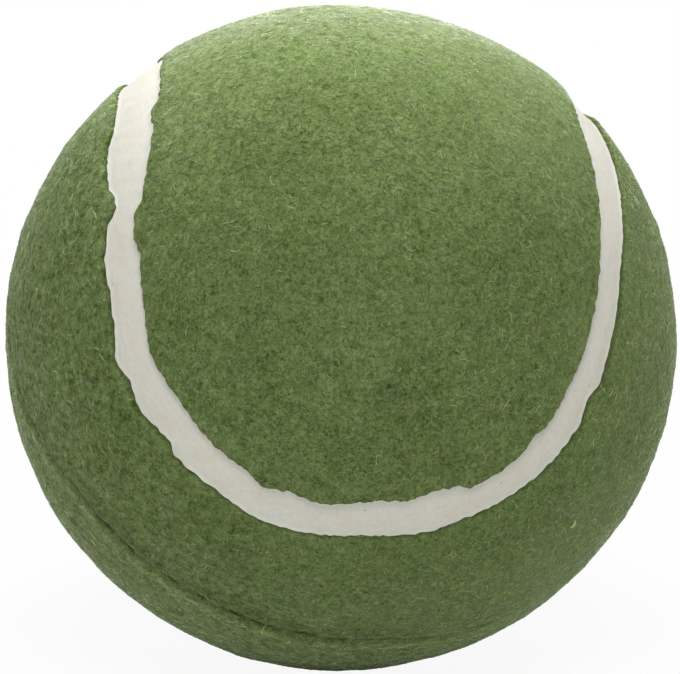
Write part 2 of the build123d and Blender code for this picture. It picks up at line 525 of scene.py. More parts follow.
def thick_panel(points, triangles, inside, shape):
    """The panel's face, its cut wall and its underside as one closed body."""
    pairs, which = edge_pairs(triangles)
    counts = np.bincount(which.ravel(), minlength=len(pairs))
    starts = triangles.ravel()
    ends = np.roll(triangles, -1, 1).ravel()
    rim = counts[which.ravel()] == 1
    starts, ends = starts[rim], ends[rim]
    rim_points, order = np.unique(np.r_[starts, ends], return_inverse=True)
    starts, ends = order[: len(starts)], order[len(starts):]
    outer = felt_face(points, inside, shape)
    floor = shape.ball_radius - shape.felt_thickness
    rows = [points * outer[:, None], points * floor]
    total = len(points)
    made = [triangles, triangles[:, ::-1] + total]
    upper = rim_points
    wall_steps = (0.12, 0.3, 0.6, 1.0)
    count = 2 * total
    for step in wall_steps:
        if step < 1:
            level = outer[rim_points] * (1 - step) + floor * step
            rows.append(points[rim_points] * level[:, None])
            lower = count + np.arange(len(rim_points))
            count += len(rim_points)
        else:
            lower = total + rim_points
        a, b, c, d = upper[ends], upper[starts], lower[starts], lower[ends]
        made += [np.stack((a, b, c), 1), np.stack((a, c, d), 1)]
        upper = lower
    return np.concatenate(rows), np.concatenate(made)


def spread_ways(rng, seam, side, count, margin):
    """Ways from the centre spread over one panel, no nearer to its cut edge than a margin."""
    found = []
    total = 0
    while total < count:
        ways = unit(rng.normal(size=(count, 3)))
        ways = ways[seam.inside(ways, side) > margin]
        found.append(ways)
        total += len(ways)
    return np.concatenate(found)[:count]


def strand_pattern(rings):
    """Triangles of one closed three-cornered strand, and each point's place on a flat strip."""
    tip = 1 + 3 * rings
    triangles = []
    flat = [(0, 0.5)]
    for ring in range(rings):
        flat += [((ring + 1) / (rings + 1), k / 2) for k in range(3)]
    for k in range(3):
        n = (k + 1) % 3
        triangles.append((0, 1 + n, 1 + k))
        for ring in range(rings - 1):
            a, b = 1 + 3 * ring + k, 1 + 3 * ring + n
            triangles += [(a, b, b + 3), (a, b + 3, a + 3)]
        triangles.append((tip - 3 + k, tip - 3 + n, tip))
    flat.append((1, 0.5))
    return np.array(triangles), np.array(flat)


def kept_inside(spots, seam, side):
    """Points of strands near the cut edge, pulled back where they pass it, and how far inside they are."""
    ways = spots.reshape(-1, 3)
    nearest, distance = seam.locate(ways)
    inside = distance * side - seam.edge[side][nearest]
    past = np.clip(STRAND_MARGIN - inside, 0, None)
    ways = unit(ways + (past * side / seam.radius)[:, None] * seam.across[nearest])
    return ways.reshape(spots.shape), np.maximum(inside, STRAND_MARGIN).reshape(spots.shape[:2])


def strand_piece(name, rng, ways, seam, side, shape, sizes, rings, spread, curl, pale, material, heading=None):
    """Thin closed strands that lie along the felt with their ends tucked into it, as one piece."""
    length, width, lift = sizes
    count = len(ways)
    if heading is None:
        heading = unit(np.cross(ways, np.stack([ripple(ways, 0.55, 80 + k) for k in range(3)], 1)))
    sideways = np.cross(ways, heading)
    swing = rng.normal(0, spread, count)
    steps = rings + 1
    bend = rng.normal(0, curl, count)
    wave = rng.normal(0, curl * 0.6, count)
    start = rng.uniform(0, 2 * math.pi, count)
    path = [np.zeros((count, 2))]
    for step in range(steps):
        part = (step + 0.5) / steps
        angle = swing + bend * (part - 0.5) + wave * np.sin(2 * math.pi * part + start)
        path.append(path[-1] + np.stack((np.cos(angle), np.sin(angle)), 1) * (length / steps)[:, None])
    path = np.stack(path, 1)
    path -= path.mean(1, keepdims=True)
    offset = path[..., :1] * heading[:, None] + path[..., 1:] * sideways[:, None]
    spots = unit(ways[:, None] + offset / shape.ball_radius)
    inside = np.full((count, steps + 1), 1.0)
    from_cut = seam.inside(ways, side)
    near = from_cut < length * 0.6 + shape.edge_round
    spots[near], inside[near] = kept_inside(spots[near], seam, side)
    face = felt_face(spots.reshape(-1, 3), inside.ravel(), shape).reshape(count, steps + 1)
    part = np.linspace(0, 1, steps + 1)
    height = face + lift[:, None] * np.sin(math.pi * part) - ROOT_DEPTH
    line = spots * height[..., None]
    ahead = unit(line[:, 2:] - line[:, :-2])
    up = spots[:, 1:-1]
    beside = unit(np.cross(up, ahead))
    up = np.cross(ahead, beside)
    girth = width[:, None] / 2 * np.sin(math.pi * (0.12 + 0.76 * part[1:-1]))
    corners = []
    for angle in (90, 210, 330):
        out = beside * math.cos(math.radians(angle)) + up * (0.75 * math.sin(math.radians(angle)))
        corners.append(line[:, 1:-1] + out * girth[..., None])
    rings_points = np.stack(corners, 2).reshape(count, -1, 3)
    points = np.concatenate((line[:, :1], rings_points, line[:, -1:]), 1)
    pattern, flat = strand_pattern(rings)
    size = points.shape[1]
    triangles = (pattern[None] + (np.arange(count) * size)[:, None, None]).reshape(-1, 3)
    piece = mesh_piece(name, points.reshape(-1, 3), triangles, material)
    # Each strand's tone: paleness that differs at random, its marks, and painted shade and highlight at the cut and
    # the crease
    tone = pale * (0.78 + 1.15 * rng.uniform(0, 1, count) ** 4) * marks_and_painted_shade(ways, from_cut, shape)
    mark_points(piece, "felt_tone_and_painted_shade", np.repeat(tone, size))
    cells = math.ceil(math.sqrt(count))
    cell = np.stack((np.arange(count) % cells, np.arange(count) // cells), 1)
    spot = (cell[:, None] + 0.1 + 0.8 * flat[None]).reshape(-1, 2) / cells
    layout = piece.data.uv_layers.new(name="OFBake")
    layout.data.foreach_set("uv", spot[triangles.ravel()].astype(np.float32).ravel())
    return piece


def strip_body(seam, shape, stations=2100):
    """The white strip as one closed ring: its face between the felt's wavy edges, walls and underside."""
    index = np.round(np.arange(stations) * seam.samples / stations).astype(int) % seam.samples
    upper, lower = seam.edge[UPPER][index] - WALL_GAP, -seam.edge[LOWER][index] + WALL_GAP
    even = np.full(stations, seam.half_width - WALL_GAP)
    face_level = shape.ball_radius - shape.strip_recess
    felt_floor = shape.ball_radius - shape.felt_thickness
    backing_floor = felt_floor - shape.backing_thickness
    parts = np.sin(np.linspace(-math.pi / 2, math.pi / 2, 19))
    rows, along, across = [], [], []
    place = np.arange(stations) / stations * seam.length
    for part in parts:
        distance = (upper + lower) / 2 + (upper - lower) / 2 * part
        ways = seam.beside(index, distance)
        level = face_level + 0.10 * MM * np.clip((abs(part) - 0.8) / 0.2, 0, 1) ** 2
        level = level + 0.022 * MM * ripple(ways, 0.07, 91) + 0.03 * MM * ripple(ways, 0.3, 92)
        rows.append(ways * level[:, None])
        along.append(place)
        across.append(distance)
    under = (
        (upper, felt_floor), (even, felt_floor), (even, backing_floor),
        (-even, backing_floor), (-even, felt_floor), (lower, felt_floor),
    )
    for distance, level in under:
        rows.append(seam.beside(index, distance) * level)
        along.append(place)
        across.append(distance)
    count = len(rows)
    points = np.stack(rows, 1).reshape(-1, 3)
    station = np.arange(stations)[:, None]
    row = np.arange(count)[None]
    a = station * count + row
    b = (station + 1) % stations * count + row
    c = (station + 1) % stations * count + (row + 1) % count
    d = station * count + (row + 1) % count
    triangles = np.concatenate([np.stack(t, 2).reshape(-1, 3) for t in ((a, b, c), (a, c, d))])
    return points, triangles, np.stack(along, 1).ravel(), np.stack(across, 1).ravel()


def node(tree, kind, place, **settings):
    """A new shader node. Settings name its properties; names with a capital are its inputs."""
    made = tree.nodes.new(kind)
    made.location = (place[0] * 190, place[1] * -170)
    for name, value in settings.items():
        if name[0].isupper():
            made.inputs[name.replace("_", " ")].default_value = value
        else:
            setattr(made, name, value)
    return made


def group_tree(name, inputs, outputs):
    """A shader node group with named sockets, built once."""
    tree = bpy.data.node_groups.new(name, "ShaderNodeTree")
    for socket, kind, value in inputs:
        made = tree.interface.new_socket(socket, in_out="INPUT", socket_type=kind)
        made.default_value = value
    for socket, kind in outputs:
        tree.interface.new_socket(socket, in_out="OUTPUT", socket_type=kind)
    return tree, tree.nodes.new("NodeGroupInput"), tree.nodes.new("NodeGroupOutput")


def lumps_with_painted_side_shade(tree, place):
    """Nodes that add small lumps to the felt's colour, stronger than in front towards the left, underside and back,
    where their extra light and dark is painted shade and highlight of raking light on the felt's relief.
    """
    link = tree.links.new
    where = node(tree, "ShaderNodeVectorMath", (-4, -1), operation="DOT_PRODUCT")
    where.inputs[1].default_value = (-0.6, 1.0, -0.25)
    link(place, where.inputs[0])
    # Painted shade and highlight: the lumps' contrast rises up to 3.2 times towards the left, underside and back
    side_shade_gain = node(tree, "ShaderNodeMapRange", (-3, -1), interpolation_type="SMOOTHSTEP",
                From_Min=-31 * MM, From_Max=-2 * MM, To_Min=1.0, To_Max=3.2)
    link(where.outputs["Value"], side_shade_gain.inputs["Value"])
    lumps = node(tree, "ShaderNodeTexNoise", (-4, -2), Scale=1250, Detail=2, Roughness=0.6, Distortion=0.6)
    link(place, lumps.inputs["Vector"])
    middled = node(tree, "ShaderNodeMath", (-3, -2), operation="SUBTRACT")
    middled.inputs[1].default_value = 0.5
    link(lumps.outputs["Fac"], middled.inputs[0])
    lumps_and_side_shade = node(tree, "ShaderNodeMath", (-1, -1), operation="MULTIPLY_ADD")
    link(middled.outputs[0], lumps_and_side_shade.inputs[0])
    link(side_shade_gain.outputs["Result"], lumps_and_side_shade.inputs[1])
    return lumps_and_side_shade


def painted_top_sheen(tree, place, colour):
    """Nodes that paint a sheen on the felt towards the top of the ball, paler and less saturated there, and the
    sheened colour.
    """
    link = tree.links.new
    height = node(tree, "ShaderNodeVectorMath", (1, -2), operation="DOT_PRODUCT")
    height.inputs[1].default_value = (0.0, 0.3, 1.0)
    link(place, height.inputs[0])
    share = node(tree, "ShaderNodeMapRange", (2, -2), From_Min=26 * MM, From_Max=33 * MM)
    link(height.outputs["Value"], share.inputs["Value"])
    # Painted sheen: towards the top the colour is multiplied paler and bluer
    sheened = node(tree, "ShaderNodeMix", (3, -1), data_type="RGBA", blend_type="MULTIPLY",
                 B=(1.17, 1.04, 1.42, 1))
    link(share.outputs["Result"], sheened.inputs["Factor"])
    link(colour, sheened.inputs["A"])
    return sheened.outputs["Result"]


def felt_mottle_and_painted_light():
    """Node group: the felt's cloudy green, its pits and its height, all from the place on the ball, with painted
    shade and highlight in its lumps towards the left, underside and back and a painted sheen towards the top.
    """
    if "Felt mottle and painted light" in bpy.data.node_groups:
        return bpy.data.node_groups["Felt mottle and painted light"]
    colour = "NodeSocketColor"
    number = "NodeSocketFloat"
    tree, given, put = group_tree(
        "Felt mottle and painted light",
        [("Shade", colour, (0, 0, 0, 1)), ("Light", colour, (1, 1, 1, 1)), ("Pit", colour, (0, 0, 0, 1)),
         ("Contrast", number, 1.0)],
        [("Color", colour), ("Height", number)])
    link = tree.links.new
    place = node(tree, "ShaderNodeTexCoord", (-5, 0)).outputs["Object"]
    clouds = node(tree, "ShaderNodeTexNoise", (-4, 0), Scale=95, Detail=3, Roughness=0.55)
    tufts = node(tree, "ShaderNodeTexNoise", (-4, 1), Scale=850, Detail=3, Roughness=0.6, Distortion=0.6)
    fibres = node(tree, "ShaderNodeTexNoise", (-4, 2), Scale=3000, Detail=2, Roughness=0.6, Distortion=1.2)
    pits = node(tree, "ShaderNodeTexNoise", (-4, 3), Scale=230, Detail=2, Roughness=0.5)
    for texture in (clouds, tufts, fibres, pits):
        link(place, texture.inputs["Vector"])
    blend = node(tree, "ShaderNodeMath", (-3, 0), operation="MULTIPLY_ADD")
    blend.inputs[1].default_value = 0.8
    link(clouds.outputs["Fac"], blend.inputs[0])
    link(tufts.outputs["Fac"], blend.inputs[2])
    all_three = node(tree, "ShaderNodeMath", (-2, 0), operation="MULTIPLY_ADD")
    all_three.inputs[1].default_value = 3.3
    link(fibres.outputs["Fac"], all_three.inputs[0])
    link(blend.outputs[0], all_three.inputs[2])
    centred = node(tree, "ShaderNodeMath", (-1, 0), operation="SUBTRACT")
    link(all_three.outputs[0], centred.inputs[0])
    centred.inputs[1].default_value = 2.55
    # Painted shade and highlight in the lumps towards the left, underside and back
    lumps_and_side_shade = lumps_with_painted_side_shade(tree, place)
    link(centred.outputs[0], lumps_and_side_shade.inputs[2])
    scaled = node(tree, "ShaderNodeMath", (0, 0), operation="MULTIPLY_ADD")
    link(lumps_and_side_shade.outputs[0], scaled.inputs[0])
    link(given.outputs["Contrast"], scaled.inputs[1])
    scaled.inputs[2].default_value = 0.5
    held = node(tree, "ShaderNodeClamp", (1, 1), Min=-0.25, Max=1.5)
    link(scaled.outputs[0], held.inputs["Value"])
    mix = node(tree, "ShaderNodeMix", (1, 0), data_type="RGBA", clamp_factor=False)
    link(held.outputs[0], mix.inputs["Factor"])
    link(given.outputs["Shade"], mix.inputs["A"])
    link(given.outputs["Light"], mix.inputs["B"])
    hollow = node(tree, "ShaderNodeMapRange", (0, 3), From_Min=0.66, From_Max=0.8, To_Min=0.0, To_Max=0.25)
    link(pits.outputs["Fac"], hollow.inputs["Value"])
    pitted = node(tree, "ShaderNodeMix", (2, 0), data_type="RGBA")
    link(hollow.outputs["Result"], pitted.inputs["Factor"])
    link(mix.outputs["Result"], pitted.inputs["A"])
    link(given.outputs["Pit"], pitted.inputs["B"])
    relief = node(tree, "ShaderNodeMath", (-2, 2), operation="MULTIPLY_ADD")
    relief.inputs[1].default_value = 0.35
    link(fibres.outputs["Fac"], relief.inputs[0])
    link(tufts.outputs["Fac"], relief.inputs[2])
    # Painted sheen towards the top of the ball
    link(painted_top_sheen(tree, place, pitted.outputs["Result"]), put.inputs["Color"])
    link(relief.outputs[0], put.inputs["Height"])
    return tree


def rubber_grain():
    """Node group: fine grain, soft clouds and specks of a moulded or poured rubber."""
    if "Rubber grain" in bpy.data.node_groups:
        return bpy.data.node_groups["Rubber grain"]
    number = "NodeSocketFloat"
    tree, given, put = group_tree(
        "Rubber grain",
        [("Place", "NodeSocketVector", (0, 0, 0)), ("Grain Scale", number, 4000.0),
         ("Cloud Scale", number, 150.0)],
        [("Grain", number), ("Clouds", number), ("Specks", number)])
    link = tree.links.new
    grain = node(tree, "ShaderNodeTexNoise", (-2, 0), Detail=3, Roughness=0.6)
    clouds = node(tree, "ShaderNodeTexNoise", (-2, 1), Detail=3, Roughness=0.55)
    specks = node(tree, "ShaderNodeTexNoise", (-2, 2), Detail=1, Roughness=0.4)
    smaller = node(tree, "ShaderNodeMath", (-3, 2), operation="MULTIPLY")
    smaller.inputs[1].default_value = 0.42
    link(given.outputs["Grain Scale"], smaller.inputs[0])
    for texture, scale in ((grain, given.outputs["Grain Scale"]), (clouds, given.outputs["Cloud Scale"]),
                           (specks, smaller.outputs[0])):
        link(given.outputs["Place"], texture.inputs["Vector"])
        link(scale, texture.inputs["Scale"])
    speck_mask = node(tree, "ShaderNodeMapRange", (-1, 2), From_Min=0.75, From_Max=0.84)
    link(specks.outputs["Fac"], speck_mask.inputs["Value"])
    link(grain.outputs["Fac"], put.inputs["Grain"])
    link(clouds.outputs["Fac"], put.inputs["Clouds"])
    link(speck_mask.outputs["Result"], put.inputs["Specks"])
    return tree


def new_material(name, roughness):
    """A material with its Principled shader, and the tree to build in."""
    material = bpy.data.materials.new(name)
    material.use_nodes = True
    tree = material.node_tree
    shader = tree.nodes["Principled BSDF"]
    shader.inputs["Roughness"].default_value = roughness
    return material, tree, shader


def place_group(tree, group, place):
    """A node group set into a material."""
    made = node(tree, "ShaderNodeGroup", place)
    made.node_tree = group
    return made


def solid(colour):
    """A colour with its alpha."""
    return (*colour, 1.0)


def felt_material(name, shade, light, pit, contrast):
    """Green felt: cloudy matted fibres that let light through a little, in a tone of their own that also carries
    painted shade and highlight at the cut and the crease.
    """
    material, tree, shader = new_material(name, 0.95)
    link = tree.links.new
    shader.inputs["Specular IOR Level"].default_value = 0.0
    shader.inputs["Subsurface Weight"].default_value = 0.7
    shader.inputs["Subsurface Radius"].default_value = (0.8, 1.0, 0.65)
    shader.inputs["Subsurface Scale"].default_value = 0.28 * MM
    mottle = place_group(tree, felt_mottle_and_painted_light(), (-4, 0))
    mottle.inputs["Shade"].default_value = solid(shade)
    mottle.inputs["Light"].default_value = solid(light)
    mottle.inputs["Pit"].default_value = solid(pit)
    mottle.inputs["Contrast"].default_value = contrast
    # The attribute holds the felt's marks and its painted shade and highlight at the cut and the crease
    tone = node(tree, "ShaderNodeAttribute", (-4, 2), attribute_name="felt_tone_and_painted_shade")
    toned_and_shaded = node(tree, "ShaderNodeVectorMath", (-2, 0), operation="SCALE")
    link(mottle.outputs["Color"], toned_and_shaded.inputs[0])
    link(tone.outputs["Fac"], toned_and_shaded.inputs["Scale"])
    link(toned_and_shaded.outputs["Vector"], shader.inputs["Base Color"])
    bump = node(tree, "ShaderNodeBump", (-2, 2), Strength=0.5, Distance=0.15 * MM)
    link(mottle.outputs["Height"], bump.inputs["Height"])
    link(bump.outputs["Normal"], shader.inputs["Normal"])
    return material


def strip_material(look):
    """White rubber strip: beige patches along its middle, streaks, specks and a fine grain."""
    material, tree, shader = new_material("seam_white_rubber", 0.62)
    link = tree.links.new
    shader.inputs["Specular IOR Level"].default_value = 0.3
    along = node(tree, "ShaderNodeAttribute", (-8, 0), attribute_name="strip_along")
    across = node(tree, "ShaderNodeAttribute", (-8, 1), attribute_name="strip_across")
    place = node(tree, "ShaderNodeCombineXYZ", (-7, 0))
    link(along.outputs["Fac"], place.inputs["X"])
    link(across.outputs["Fac"], place.inputs["Y"])
    grain = place_group(tree, rubber_grain(), (-5, 0))
    grain.inputs["Grain Scale"].default_value = 3600
    grain.inputs["Cloud Scale"].default_value = 260
    link(place.outputs["Vector"], grain.inputs["Place"])
    long_place = node(tree, "ShaderNodeVectorMath", (-6, 2), operation="MULTIPLY")
    long_place.inputs[1].default_value = (0.6, 1.0, 1.0)
    link(place.outputs["Vector"], long_place.inputs[0])
    streaks = node(tree, "ShaderNodeTexNoise", (-5, 2), Scale=2400, Detail=4, Roughness=0.65)
    link(long_place.outputs["Vector"], streaks.inputs["Vector"])
    from_middle = node(tree, "ShaderNodeMath", (-6, 3), operation="ABSOLUTE")
    link(across.outputs["Fac"], from_middle.inputs[0])
    middle = node(tree, "ShaderNodeMapRange", (-5, 3), From_Min=0.2 * MM, From_Max=1.6 * MM,
                  To_Min=1.0, To_Max=0.0)
    link(from_middle.outputs[0], middle.inputs["Value"])
    patches = node(tree, "ShaderNodeMapRange", (-4, 1), From_Min=0.42, From_Max=0.72, To_Max=0.8)
    link(grain.outputs["Clouds"], patches.inputs["Value"])
    stain = node(tree, "ShaderNodeMath", (-3, 1), operation="MULTIPLY")
    link(patches.outputs["Result"], stain.inputs[0])
    link(middle.outputs["Result"], stain.inputs[1])
    stained = node(tree, "ShaderNodeMix", (-3, 0), data_type="RGBA")
    stained.inputs["A"].default_value = solid(look.rubber_colour)
    stained.inputs["B"].default_value = solid(look.stain_colour)
    link(stain.outputs[0], stained.inputs["Factor"])
    streak_level = node(tree, "ShaderNodeMapRange", (-3, 2), From_Min=0.3, From_Max=0.7,
                        To_Min=0.93, To_Max=1.06)
    link(streaks.outputs["Fac"], streak_level.inputs["Value"])
    streaked = node(tree, "ShaderNodeVectorMath", (-2, 0), operation="SCALE")
    link(stained.outputs["Result"], streaked.inputs[0])
    link(streak_level.outputs["Result"], streaked.inputs["Scale"])
    specked = node(tree, "ShaderNodeMix", (-1, 0), data_type="RGBA")
    specked.inputs["B"].default_value = solid(look.speck_colour)
    link(grain.outputs["Specks"], specked.inputs["Factor"])
    link(streaked.outputs["Vector"], specked.inputs["A"])
    link(specked.outputs["Result"], shader.inputs["Base Color"])
    rough = node(tree, "ShaderNodeMapRange", (-2, 2), From_Min=0.3, From_Max=0.7, To_Min=0.55, To_Max=0.72)
    link(grain.outputs["Grain"], rough.inputs["Value"])
    link(rough.outputs["Result"], shader.inputs["Roughness"])
    bump = node(tree, "ShaderNodeBump", (-2, 3), Strength=0.35, Distance=0.05 * MM)
    link(grain.outputs["Grain"], bump.inputs["Height"])
    link(bump.outputs["Normal"], shader.inputs["Normal"])
    return material


def inner_rubber_material(name, dark, light, roughness, grain_scale, cloud_scale):
    """Rubber or cement inside the ball: two close colours in soft clouds, with specks and a fine grain."""
    material, tree, shader = new_material(name, roughness)
    link = tree.links.new
    place = node(tree, "ShaderNodeTexCoord", (-6, 0))
    grain = place_group(tree, rubber_grain(), (-5, 0))
    grain.inputs["Grain Scale"].default_value = grain_scale
    grain.inputs["Cloud Scale"].default_value = cloud_scale
    link(place.outputs["Object"], grain.inputs["Place"])
    clouds = node(tree, "ShaderNodeMix", (-3, 0), data_type="RGBA")
    clouds.inputs["A"].default_value = solid(dark)
    clouds.inputs["B"].default_value = solid(light)
    link(grain.outputs["Clouds"], clouds.inputs["Factor"])
    specked = node(tree, "ShaderNodeMix", (-2, 0), data_type="RGBA")
    specked.inputs["B"].default_value = solid([0.5 * part for part in dark])
    link(grain.outputs["Specks"], specked.inputs["Factor"])
    link(clouds.outputs["Result"], specked.inputs["A"])
    link(specked.outputs["Result"], shader.inputs["Base Color"])
    bump = node(tree, "ShaderNodeBump", (-2, 2), Strength=0.4, Distance=0.06 * MM)
    link(grain.outputs["Grain"], bump.inputs["Height"])
    link(bump.outputs["Normal"], shader.inputs["Normal"])
    return material


def backing_material():
    """Woven cotton under the felt: crossed threads from two sets of waves."""
    material, tree, shader = new_material("woven_cotton_backing", 0.9)
    link = tree.links.new
    place = node(tree, "ShaderNodeTexCoord", (-6, 0)).outputs["Object"]
    heights = []
    for row, direction in enumerate(("X", "Z")):
        threads = node(tree, "ShaderNodeTexWave", (-5, row), bands_direction=direction, Scale=420,
                       Distortion=0.6, Detail=1)
        link(place, threads.inputs["Vector"])
        heights.append(threads.outputs["Fac"])
    weave = node(tree, "ShaderNodeMath", (-4, 0), operation="MAXIMUM")
    link(heights[0], weave.inputs[0])
    link(heights[1], weave.inputs[1])
    colour = node(tree, "ShaderNodeMix", (-3, 0), data_type="RGBA")
    colour.inputs["A"].default_value = (0.30, 0.28, 0.20, 1)
    colour.inputs["B"].default_value = (0.60, 0.57, 0.45, 1)
    link(weave.outputs[0], colour.inputs["Factor"])
    link(colour.outputs["Result"], shader.inputs["Base Color"])
    bump = node(tree, "ShaderNodeBump", (-2, 2), Strength=0.8, Distance=0.1 * MM)
    link(weave.outputs[0], bump.inputs["Height"])
    link(bump.outputs["Normal"], shader.inputs["Normal"])
    return material


def set_material(node_name, material):
    """A CAD node's own mesh with a better material."""
    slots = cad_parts[node_name].data.materials
    slots.clear()
    slots.append(material)


class TENNISBALL_OT_felt_panels(bpy.types.Operator):
    """Makes the two felt panels, cut along the wavy seam"""

    bl_idname = "tennis_ball.felt_panels"
    bl_label = "Felt panels"

    def execute(self, context):
        shape = context.scene.ball_shape
        look = context.scene.felt_look
        seam = Seam(shape)
        material = felt_material(
            "green_felt_cloth", look.shade_colour, look.light_colour, look.pit_colour, contrast=0.75)
        for word, side in PANELS.items():
            points, triangles = thick_panel(*panel_net(seam, side, shape), shape)
            piece = mesh_piece(f"{word}_felt_cloth", points, triangles, material)
            ways = unit(points)
            # The cloth's tone: its marks and painted shade and highlight at the cut and the crease
            mark_points(piece, "felt_tone_and_painted_shade", marks_and_painted_shade(ways, seam.inside(ways, side), shape))
            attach(piece, "root")
            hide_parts(f"{word}_felt_panel")
        return {"FINISHED"}


class TENNISBALL_OT_felt_nap(bpy.types.Operator):
    """Lays the nap's short strands and the longer loose ones on both panels"""

    bl_idname = "tennis_ball.felt_nap"
    bl_label = "Felt nap"

    def execute(self, context):
        shape = context.scene.ball_shape
        look = context.scene.felt_look
        seam = Seam(shape)
        material = felt_material(
            "green_felt_strand", look.shade_colour, look.light_colour, look.pit_colour, contrast=0.52)
        darker = [0.6 * part for part in look.wisp_colour]
        wisp = felt_material("pale_felt_wisp", darker, look.wisp_colour, look.pit_colour, 0.68)
        for word, side in PANELS.items():
            lays = [(f"nap_{number + 1}", look.strands_per_piece, 1, (1.0, 1.0, 1.0), 1.2, 1.2, 1.0)
                    for number in range(look.nap_pieces)]
            lays.append(("curls", look.curled_strands, 5, (1.8, 1.4, 1.1), 1.4, 1.4, 1.1))
            lays.append(("strays", look.stray_strands, 7, (2.6, 1.6, 1.4), 1.5, 1.5, 1.08))
            pieces = []
            for number, (kind, count, rings, scale, spread, curl, pale) in enumerate(lays):
                rng = np.random.default_rng(1000 + 100 * side + number)
                ways = spread_ways(rng, seam, side, count, START_MARGIN)
                sizes = (
                    scale[0] * look.strand_length * np.exp(rng.normal(0, 0.35, count)),
                    scale[1] * look.strand_width * rng.uniform(0.7, 1.3, count),
                    scale[2] * look.strand_lift * rng.uniform(0.2, 1.6, count),
                )
                pieces.append(strand_piece(
                    f"{word}_felt_{kind}", rng, ways, seam, side, shape, sizes, rings, spread, curl, pale,
                    material if rings == 1 else wisp))
            if side == LOWER:
                pieces.append(self.pale_fleck(look, seam, side, shape))
            for piece in pieces:
                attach(piece, "root")
        return {"FINISHED"}

    def pale_fleck(self, look, seam, side, shape):
        """One short pale fibre caught in the lower panel's nap."""
        rng = np.random.default_rng(7)
        way = facing(*FLECK_PLACE)
        level = unit(np.cross((0, 0, 1), way))
        tip = math.radians(FLECK_TIP)
        heading = level * math.cos(tip) + np.cross(way, level) * math.sin(tip)
        darker = [0.8 * part for part in look.fleck_colour]
        material = felt_material("pale_fleck", darker, look.fleck_colour, darker, 0.4)
        sizes = [np.array([size * MM]) for size in FLECK_SIZES]
        return strand_piece(
            "lower_felt_fleck", rng, way[None], seam, side, shape, sizes, rings=7, spread=0.0, curl=0.3,
            pale=1.5, material=material, heading=heading[None])


class TENNISBALL_OT_seam_strip(bpy.types.Operator):
    """Makes the white rubber strip between the panels"""

    bl_idname = "tennis_ball.seam_strip"
    bl_label = "Seam strip"

    def execute(self, context):
        shape = context.scene.ball_shape
        points, triangles, along, across = strip_body(Seam(shape), shape)
        piece = mesh_piece("white_seam_strip", points, triangles, strip_material(context.scene.seam_look))
        mark_points(piece, "strip_along", along)
        mark_points(piece, "strip_across", across)
        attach(piece, "root")
        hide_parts("seam_strip")
        return {"FINISHED"}


class TENNISBALL_OT_inner_layers(bpy.types.Operator):
    """Gives the core, its cement and the panels' woven backing their finishes"""

    bl_idname = "tennis_ball.inner_layers"
    bl_label = "Inner layers"

    def execute(self, context):
        core = inner_rubber_material("core_rubber", (0.040, 0.037, 0.034), (0.075, 0.070, 0.064), 0.6, 2200, 90)
        cement = inner_rubber_material("rubber_cement", (0.50, 0.42, 0.26), (0.66, 0.58, 0.40), 0.45, 1500, 130)
        backing = backing_material()
        for name in ("front_core_cup", "rear_core_cup"):
            set_material(name, core)
        for name in ("core_joint_cement", "core_cement_coat"):
            set_material(name, cement)
        for word in PANELS:
            set_material(f"{word}_panel_backing", backing)
        return {"FINISHED"}


